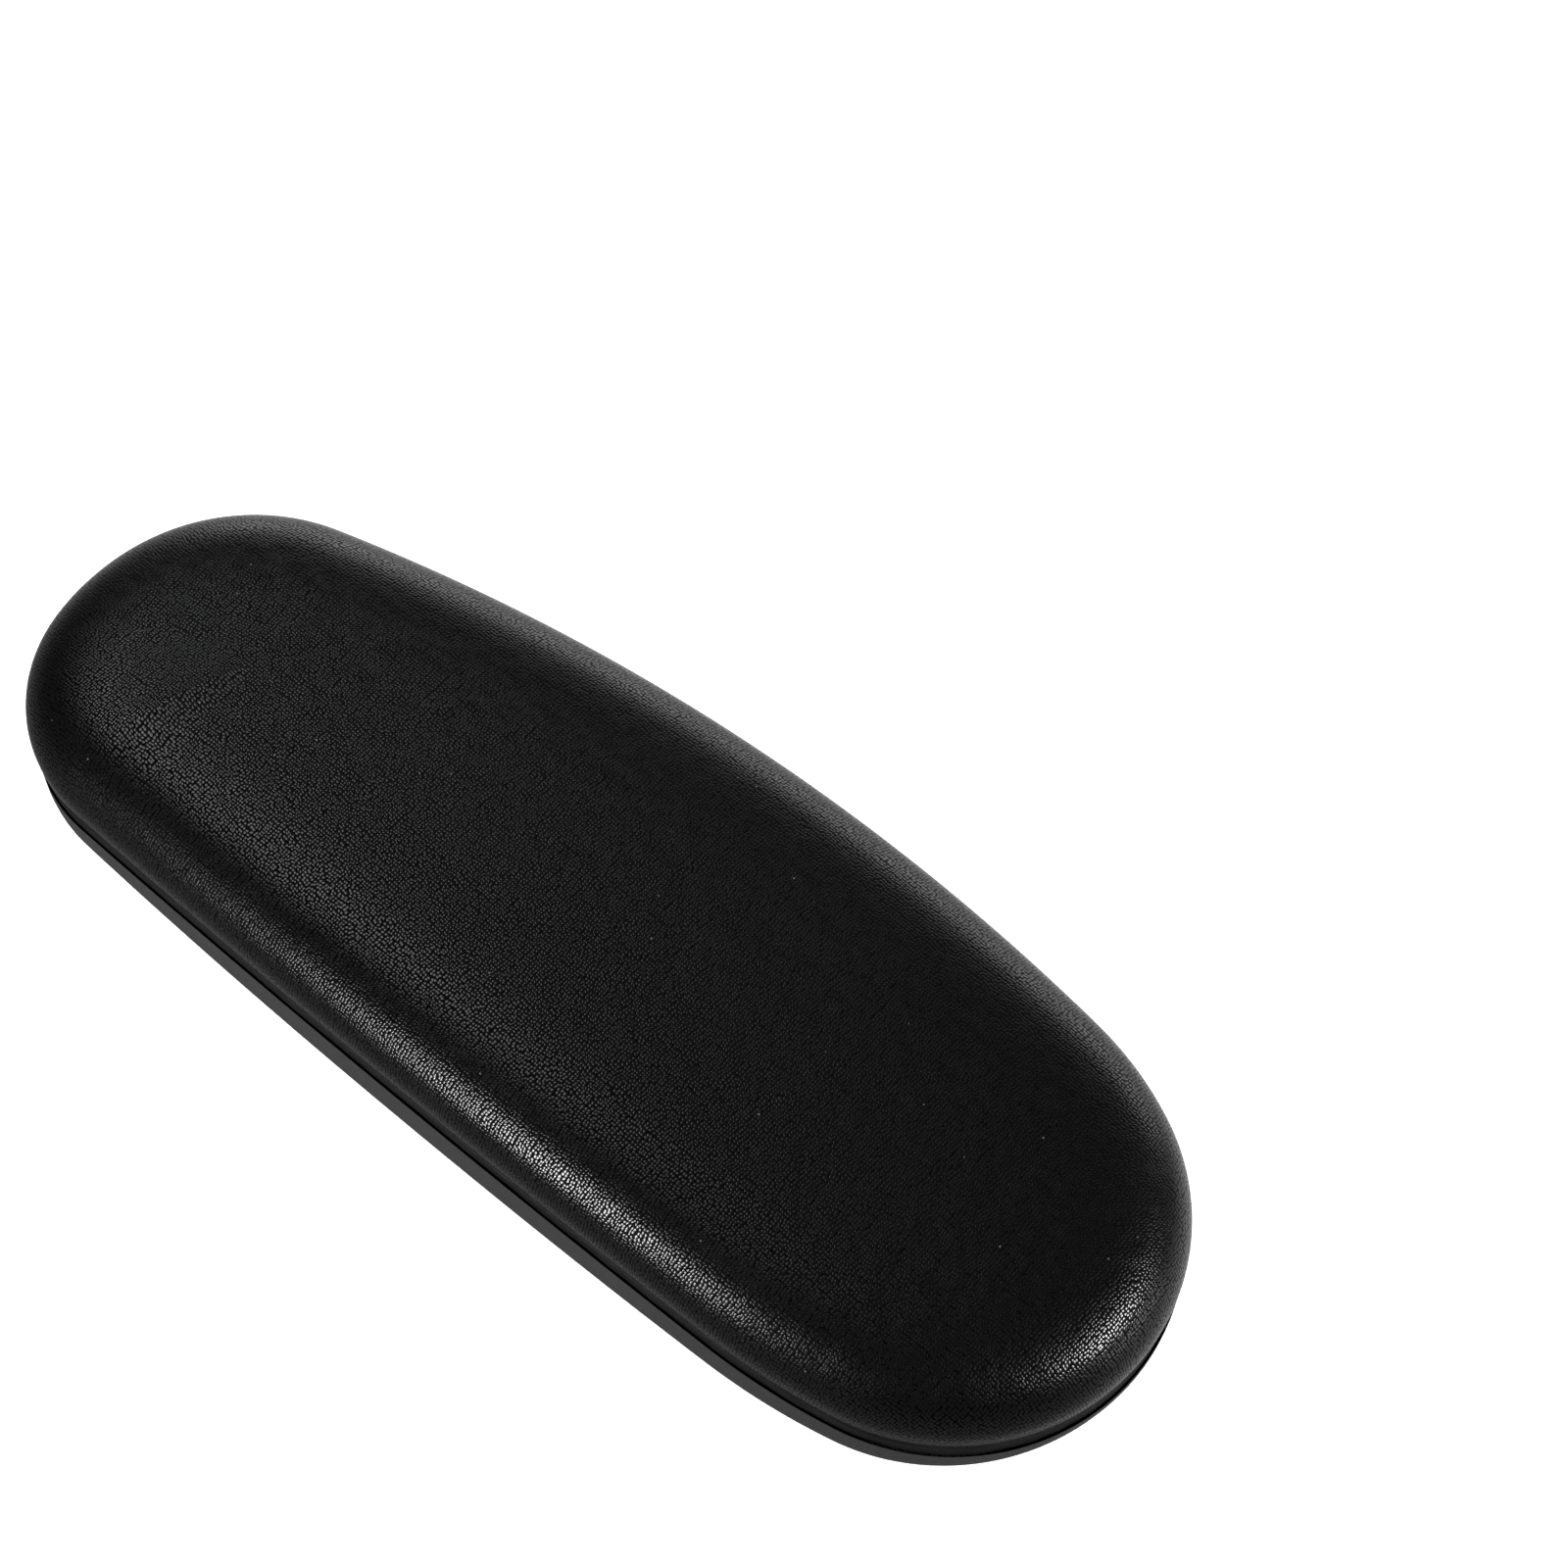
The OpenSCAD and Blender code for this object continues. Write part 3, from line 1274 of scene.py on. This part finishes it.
@dataclass(frozen=True)
class SoftBox:
    """A rectangular studio light that faces the pad.

    Args:
        name: Its name.
        toward: Direction from the pad to it.
        distance: Distance from the pad.
        width: Its level size.
        height: Its other size.
        radiance: Brightness of its face.
    """

    name: str
    toward: tuple[float, float, float]
    distance: float
    width: float
    height: float
    radiance: float

    def build(self, aim: Vector) -> None:
        """Builds the light.

        Args:
            aim: The point that it faces.
        """
        data = bpy.data.lights.new(self.name, "AREA")
        data.shape = "RECTANGLE"
        data.size, data.size_y = self.width, self.height
        data.energy = self.radiance * math.pi * self.width * self.height
        light = bpy.data.objects.new(self.name, data)
        away = Vector(self.toward).normalized()
        light.rotation_mode = "QUATERNION"
        light.rotation_quaternion = away.to_track_quat("Z", "Y")
        light.location = aim + away * self.distance
        light.visible_camera = False
        bpy.context.scene.collection.objects.link(light)


@dataclass
class Studio:
    """Pale floor, soft light and the camera.

    Args:
        azimuth: Direction of the camera round the pad, in degrees.
        elevation: Its height above level, in degrees.
        distance: Its distance from the aim, along its line of sight.
        side: How far it is moved to its right.
        rise: How far it is moved up its picture.
        lens: Its focal length, in millimetres.
        sensor: Width of its sensor, in millimetres.
        floor_size: Side of the floor.
        floor_shade: Tone of the floor.
        floor_glow: Light that the floor gives off.
        dim: Brightness of the surroundings overhead.
        low_glow: What they gain towards the ground.
        far_glow: What they gain more towards the ground at the back.
        boxes: The lights.
    """

    azimuth: float = 41.83
    elevation: float = 59.01
    distance: float = 640 * MM
    side: float = 34.43 * MM
    rise: float = 30.29 * MM
    lens: float = 77.05
    sensor: float = 36.0
    floor_size: float = 6.0
    floor_shade: float = 0.7
    floor_glow: float = 0.75
    dim: float = 0.02
    low_glow: float = 0.22
    far_glow: float = 1.0
    boxes: tuple[SoftBox, ...] = (
        SoftBox("key_box", (-0.20, -0.89, 0.41), 0.48, 0.045, 0.28, 75.0),
        SoftBox("front_box", (0.76, 0.26, 0.595), 1.5, 0.55, 0.3, 56.0),
        SoftBox("front_card", (0.9, 0.36, 0.12), 1.5, 0.7, 0.25, 6.0),
        SoftBox("top_box", (-0.50, 0.07, 0.86), 1.3, 0.34, 0.5, 6.0),
        SoftBox("back_card", (-0.38, 0.88, 0.25), 1.3, 1.9, 0.62, 3.4),
    )

    def build(self) -> None:
        """Builds the floor, the lights, the surroundings and the camera."""
        self.build_floor()
        self.build_world()
        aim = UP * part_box("parting_rim")[1].z
        for box in self.boxes:
            box.build(aim)
        self.build_camera(aim)

    def build_floor(self) -> None:
        """Builds the floor under the pad."""
        bm = bmesh.new()
        bmesh.ops.create_grid(bm, x_segments=1, y_segments=1, size=self.floor_size / 2)
        floor = to_piece(bm, "floor", smooth=False)
        material = bpy.data.materials.new("floor")
        material.use_nodes = True
        sheet = NodeSheet(material.node_tree)
        shader = sheet.add("ShaderNodeBsdfPrincipled")
        shader.inputs["Base Color"].default_value = (*[self.floor_shade] * 3, 1.0)
        shader.inputs["Roughness"].default_value = 0.9
        shader.inputs["Emission Color"].default_value = (1.0, 1.0, 1.0, 1.0)
        shader.inputs["Emission Strength"].default_value = self.floor_glow
        sheet.join(shader.outputs[0], sheet.add("ShaderNodeOutputMaterial").inputs["Surface"])
        floor.data.materials.append(material)
        floor.visible_glossy = False

    def build_world(self) -> None:
        """Gives the surroundings a dim grey that glows towards the ground, most at the back."""
        world = bpy.data.worlds.new("studio")
        world.use_nodes = True
        shade = world.node_tree.nodes["Background"]
        shade.inputs["Color"].default_value = (1.0, 1.0, 1.0, 1.0)
        sheet = NodeSheet(world.node_tree, keep=True)
        way = sheet.add("ShaderNodeSeparateXYZ")
        sheet.join(sheet.add("ShaderNodeTexCoord").outputs["Generated"], way.inputs[0])
        low = sheet.math("SUBTRACT", 1.0, sheet.ramp(way.outputs["Z"], -0.25, 0.3))
        far = sheet.ramp(way.outputs["Y"], -0.2, 0.9)
        glow = sheet.math("MULTIPLY", low, sheet.scaled(far, self.far_glow, self.low_glow))
        sheet.join(sheet.math("ADD", glow, self.dim), shade.inputs["Strength"])
        bpy.context.scene.world = world

    def build_camera(self, aim: Vector) -> None:
        """Builds the camera, level and without shift.

        Args:
            aim: The point that its place is measured from.
        """
        a, e = math.radians(self.azimuth), math.radians(self.elevation)
        back = Vector((math.sin(a) * math.cos(e), -math.cos(a) * math.cos(e), math.sin(e)))
        right = Vector((math.cos(a), math.sin(a), 0.0))
        up = back.cross(right)
        data = bpy.data.cameras.new("camera")
        data.lens, data.sensor_width = self.lens, self.sensor
        data.clip_start, data.clip_end = 0.01, 20.0
        camera = bpy.data.objects.new("camera", data)
        camera.location = aim + right * self.side + up * self.rise + back * self.distance
        camera.rotation_euler = Matrix((right, up, back)).transposed().to_euler()
        bpy.context.scene.collection.objects.link(camera)
        bpy.context.scene.camera = camera


def main() -> None:
    """Builds the pad and its studio."""
    logging.basicConfig(level=logging.INFO, format="%(name)s: %(message)s")
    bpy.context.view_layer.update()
    bpy.context.scene.view_settings.view_transform = "Standard"
    Studio().build()
    ArmrestPad().build()


if __name__ == "__main__":
    main()
